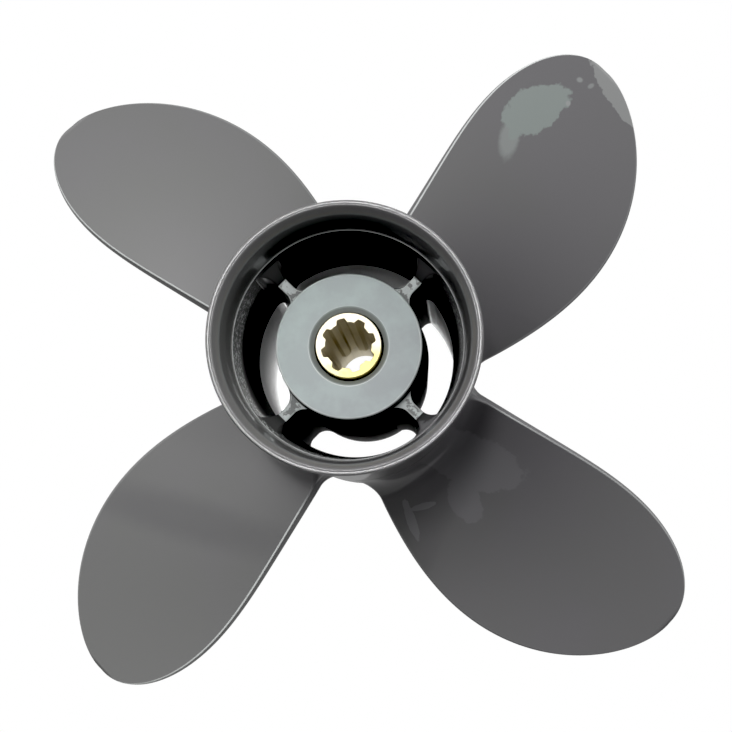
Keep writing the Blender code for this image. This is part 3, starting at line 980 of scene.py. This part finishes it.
class PROPELLER_OT_hub(bpy.types.Operator):
    """Cast the inner hub with its closed aft end and the lipped hole in it"""

    bl_idname = "propeller.hub"
    bl_label = "Cast Hub"

    def execute(self, context):
        scene = context.scene
        sizes = scene.propeller_housing
        low, high = HUB_BOX[0][2], HUB_BOX[1][2]
        corners = [
            (sizes.hub_aft_radius, high, 0.6 * MM),
            (sizes.hub_parting, sizes.parting_height, 0),
            (sizes.hub_front_radius, low, 0.8 * MM),
            (sizes.hub_bore, low, 0.8 * MM),
            (sizes.hub_bore, high - sizes.hub_wall, 0.5 * MM),
            (sizes.hub_hole, high - sizes.hub_wall, 0.3 * MM),
            (sizes.hub_hole, high - sizes.hole_bevel, 0.15 * MM),
            (sizes.hub_hole + sizes.hole_bevel, high, 0.2 * MM),
        ]
        hub = turned("cast_hub", corners, casting_paint(scene.propeller_finish, sizes))
        finish_piece(hub, "paint", "inner_hub")
        return {"FINISHED"}


class PROPELLER_OT_ribs(bpy.types.Operator):
    """Cast the ribs that carry the hub in the barrel"""

    bl_idname = "propeller.ribs"
    bl_label = "Cast Ribs"

    def execute(self, context):
        scene = context.scene
        sizes = scene.propeller_housing
        paint = casting_paint(scene.propeller_finish, sizes)
        ribs = grown_from(rib_tree(sizes, BLADES), "cast_ribs", named(RIB_SIZES, sizes), paint)
        finish_piece(ribs, "paint", *[f"rib_{number + 1}" for number in range(BLADES)])
        return {"FINISHED"}


class PROPELLER_OT_blades(bpy.types.Operator):
    """Cast the blades from one rule, evenly round the barrel"""

    bl_idname = "propeller.blades"
    bl_label = "Cast Blades"

    def execute(self, context):
        scene = context.scene
        sizes = scene.propeller_blades
        paint = casting_paint(scene.propeller_finish, scene.propeller_housing)
        tree = blade_tree()
        given = named(BLADE_SIZES, sizes)
        given["Barrel radius"] = scene.propeller_housing.barrel_radius
        for number in range(BLADES):
            given["Turn"] = sizes.first_angle + number * math.tau / BLADES
            blade = grown_from(tree, f"cast_blade_{number + 1}", given, paint)
            finish_piece(blade, "paint", f"blade_{number + 1}")
        return {"FINISHED"}


class PROPELLER_OT_cushion(bpy.types.Operator):
    """Mould the rubber cushion between the hub and the sleeve"""

    bl_idname = "propeller.cushion"
    bl_label = "Mould Cushion"

    def execute(self, context):
        scene = context.scene
        low, high = CUSHION_BOX[0][2], CUSHION_BOX[1][2]
        outer = CUSHION_BOX[1][0]
        inner = SLEEVE_BOX[1][0] + 0.3 * MM
        corners = [
            (outer, high, 0.6 * MM),
            (outer, low, 1.0 * MM),
            ((outer + inner) / 2, low + 0.8 * MM, 3 * MM),
            (inner, low, 0.4 * MM),
            (inner, high, 0.6 * MM),
        ]
        rubber = moulded_rubber(scene.propeller_finish)
        cushion = turned("rubber_cushion", corners, rubber, steps=180)
        finish_piece(cushion, "rubber", "drive_bushing")
        return {"FINISHED"}


class PROPELLER_OT_sleeve(bpy.types.Operator):
    """Machine the brass sleeve with its spline slots"""

    bl_idname = "propeller.sleeve"
    bl_label = "Machine Sleeve"

    def execute(self, context):
        scene = context.scene
        sizes = scene.propeller_sleeve
        brass = machined_brass(scene.propeller_finish, sizes)
        sleeve = grown_from(sleeve_tree(sizes.slots), "brass_sleeve", {}, brass, slot_mesh(sizes))
        sleeve.data.set_sharp_from_angle(angle=math.radians(20))
        finish_piece(sleeve, "brass", "splined_sleeve")
        return {"FINISHED"}


def glowing(name, strength):
    """A material that gives off even white light."""
    material = bpy.data.materials.new(name)
    material.use_nodes = True
    graph = Value(material.node_tree)
    material.node_tree.nodes.remove(material.node_tree.nodes["Principled BSDF"])
    inputs = {"Color": opaque((1.0, 1.0, 1.0)), "Strength": strength}
    glow = graph.node("ShaderNodeEmission", {}, inputs)
    material.node_tree.links.new(glow.socket, material.node_tree.nodes["Material Output"].inputs[0])
    return material


def staged(name, shape, material):
    """A piece of the studio made from this bmesh."""
    mesh = bpy.data.meshes.new(name)
    shape.to_mesh(mesh)
    shape.free()
    mesh.materials.append(material)
    obj = add_object(name, mesh)
    return obj


def card(name, width, height, material):
    """A flat card in the X-Y plane, which faces down."""
    shape = bmesh.new()
    bmesh.ops.create_grid(shape, x_segments=1, y_segments=1, size=0.5)
    bmesh.ops.scale(shape, vec=(width, height, 1), verts=shape.verts)
    bmesh.ops.reverse_faces(shape, faces=shape.faces)
    return staged(name, shape, material)


def dome(name, radius, material):
    """A half globe over the studio."""
    shape = bmesh.new()
    bmesh.ops.create_uvsphere(shape, u_segments=96, v_segments=48, radius=radius)
    below = [face for face in shape.faces if face.calc_center_median().z < 0]
    bmesh.ops.delete(shape, geom=below, context="FACES")
    return staged(name, shape, material)


def softbox(name, direction, distance, width, height, strength):
    """A glowing card that faces the propeller from this direction, unseen by the camera."""
    centre = Vector((0, 0, 0.06))
    box = card(name, width, height, glowing(name, strength))
    toward = Vector(direction).normalized()
    turn = toward.to_track_quat("Z", "Y").to_matrix().to_4x4()
    box.data.transform(Matrix.Translation(centre + toward * distance) @ turn)
    box.visible_camera = False


def upward_glow(name, width, height, centre, strength):
    """A glowing card under the propeller that the camera doesn't see. Its sizes are in mm."""
    glow = card(name, width * MM, height * MM, glowing(name, strength))
    glow.data.flip_normals()
    glow.data.transform(Matrix.Translation([part * MM for part in centre]))
    glow.visible_camera = False


def sky(scene, lobes):
    """Surrounds the scene with soft lights: each lobe has a direction, a focus and a strength."""
    world = bpy.data.worlds.new("studio_sky")
    world.use_nodes = True
    graph = Value(world.node_tree)
    toward = graph.node("ShaderNodeTexCoord", output="Generated")
    light = 0.0
    for azimuth, elevation, focus, strength in lobes:
        turn, lift = math.radians(azimuth), math.radians(elevation)
        centre = (math.cos(turn) * math.cos(lift), math.sin(turn) * math.cos(lift), math.sin(lift))
        inputs = {0: toward, 1: centre}
        facing = graph.node("ShaderNodeVectorMath", {"operation": "DOT_PRODUCT"}, inputs, "Value")
        light = light + larger(facing, 0.0) ** focus * strength
    background = world.node_tree.nodes["Background"]
    background.inputs["Color"].default_value = (1.0, 1.0, 1.0, 1.0)
    world.node_tree.links.new(light.socket, background.inputs["Strength"])
    scene.world = world


class PROPELLER_OT_studio(bpy.types.Operator):
    """Set up a white floor, soft lights and the camera"""

    bl_idname = "propeller.studio"
    bl_label = "Set Up Studio"

    def execute(self, context):
        scene = context.scene
        studio = scene.propeller_studio
        white = glowing("white_studio", 1.0)
        floor = card("floor", studio.floor_size, studio.floor_size, white)
        floor.data.transform(Matrix.Translation((0, 0, -0.5 * MM)))
        backdrop = dome("backdrop", studio.floor_size * 0.45, white)
        for plain in (floor, backdrop):
            plain.visible_diffuse = plain.visible_glossy = plain.visible_transmission = False
        backdrop.visible_shadow = False

        softbox("overhead_softbox", (-0.08, 0.15, 0.99), 1.3, 0.2, 0.2, 45.0)
        upward_glow("floor_glow", 400, 400, (0, 0, -0.3), 0.4)
        for name, (inner, outer, strength) in GLOW_RINGS.items():
            across = ((inner, -0.3), (outer, -0.3), (outer, -0.1), (inner, -0.1))
            corners = [(radius * MM, height * MM, 0) for radius, height in across]
            ring = turned(name, corners, glowing(name, strength), steps=96)
            ring.visible_camera = False
        upward_glow("left_glow", 9, 26, (-25.5, 0, -0.05), 13.0)
        sky(scene, SKY)
        scene.view_settings.view_transform = "Standard"
        scene.view_settings.use_curve_mapping = True
        curves = scene.view_settings.curve_mapping
        curves.black_level = (studio.black_level,) * 3
        curves.update()

        lens = bpy.data.cameras.new("camera")
        lens.lens = studio.focal
        lens.sensor_width = 36
        lens.clip_start = 0.01
        camera = bpy.data.objects.new("camera", lens)
        scene.collection.objects.link(camera)
        view = Matrix.Rotation(studio.tilt, 4, "X") @ Matrix.Rotation(studio.lean, 4, "Y")
        camera.matrix_world = Matrix.Translation(CAMERA_PLACE) @ view
        scene.camera = camera
        return {"FINISHED"}


class PROPELLER_PT_panel(bpy.types.Panel):
    """Lists the propeller's pieces and sizes"""

    bl_label = "Ship Propeller"
    bl_idname = "PROPELLER_PT_panel"
    bl_space_type = "VIEW_3D"
    bl_region_type = "UI"
    bl_category = "Propeller"

    def draw(self, context):
        column = self.layout.column()
        for operator in OPERATORS:
            column.operator(operator.bl_idname)
        for name, group in GROUPS.items():
            box = self.layout.box()
            for key in group.__annotations__:
                box.prop(getattr(context.scene, name), key)


GROUPS = {
    "propeller_housing": PropellerHousing,
    "propeller_blades": PropellerBlades,
    "propeller_sleeve": PropellerSleeve,
    "propeller_finish": PropellerFinish,
    "propeller_studio": PropellerStudio,
}

OPERATORS = (
    PROPELLER_OT_barrel,
    PROPELLER_OT_hub,
    PROPELLER_OT_ribs,
    PROPELLER_OT_blades,
    PROPELLER_OT_cushion,
    PROPELLER_OT_sleeve,
    PROPELLER_OT_studio,
)


def register():
    for group in GROUPS.values():
        bpy.utils.register_class(group)
    for name, group in GROUPS.items():
        setattr(bpy.types.Scene, name, bpy.props.PointerProperty(type=group))
    for operator in OPERATORS:
        bpy.utils.register_class(operator)
    bpy.utils.register_class(PROPELLER_PT_panel)


def unregister():
    bpy.utils.unregister_class(PROPELLER_PT_panel)
    for operator in reversed(OPERATORS):
        bpy.utils.unregister_class(operator)
    for name, group in GROUPS.items():
        delattr(bpy.types.Scene, name)
        bpy.utils.unregister_class(group)


def main():
    register()
    bpy.ops.propeller.barrel()
    bpy.ops.propeller.hub()
    bpy.ops.propeller.ribs()
    bpy.ops.propeller.blades()
    bpy.ops.propeller.cushion()
    bpy.ops.propeller.sleeve()
    bpy.ops.propeller.studio()


if __name__ == "__main__":
    main()
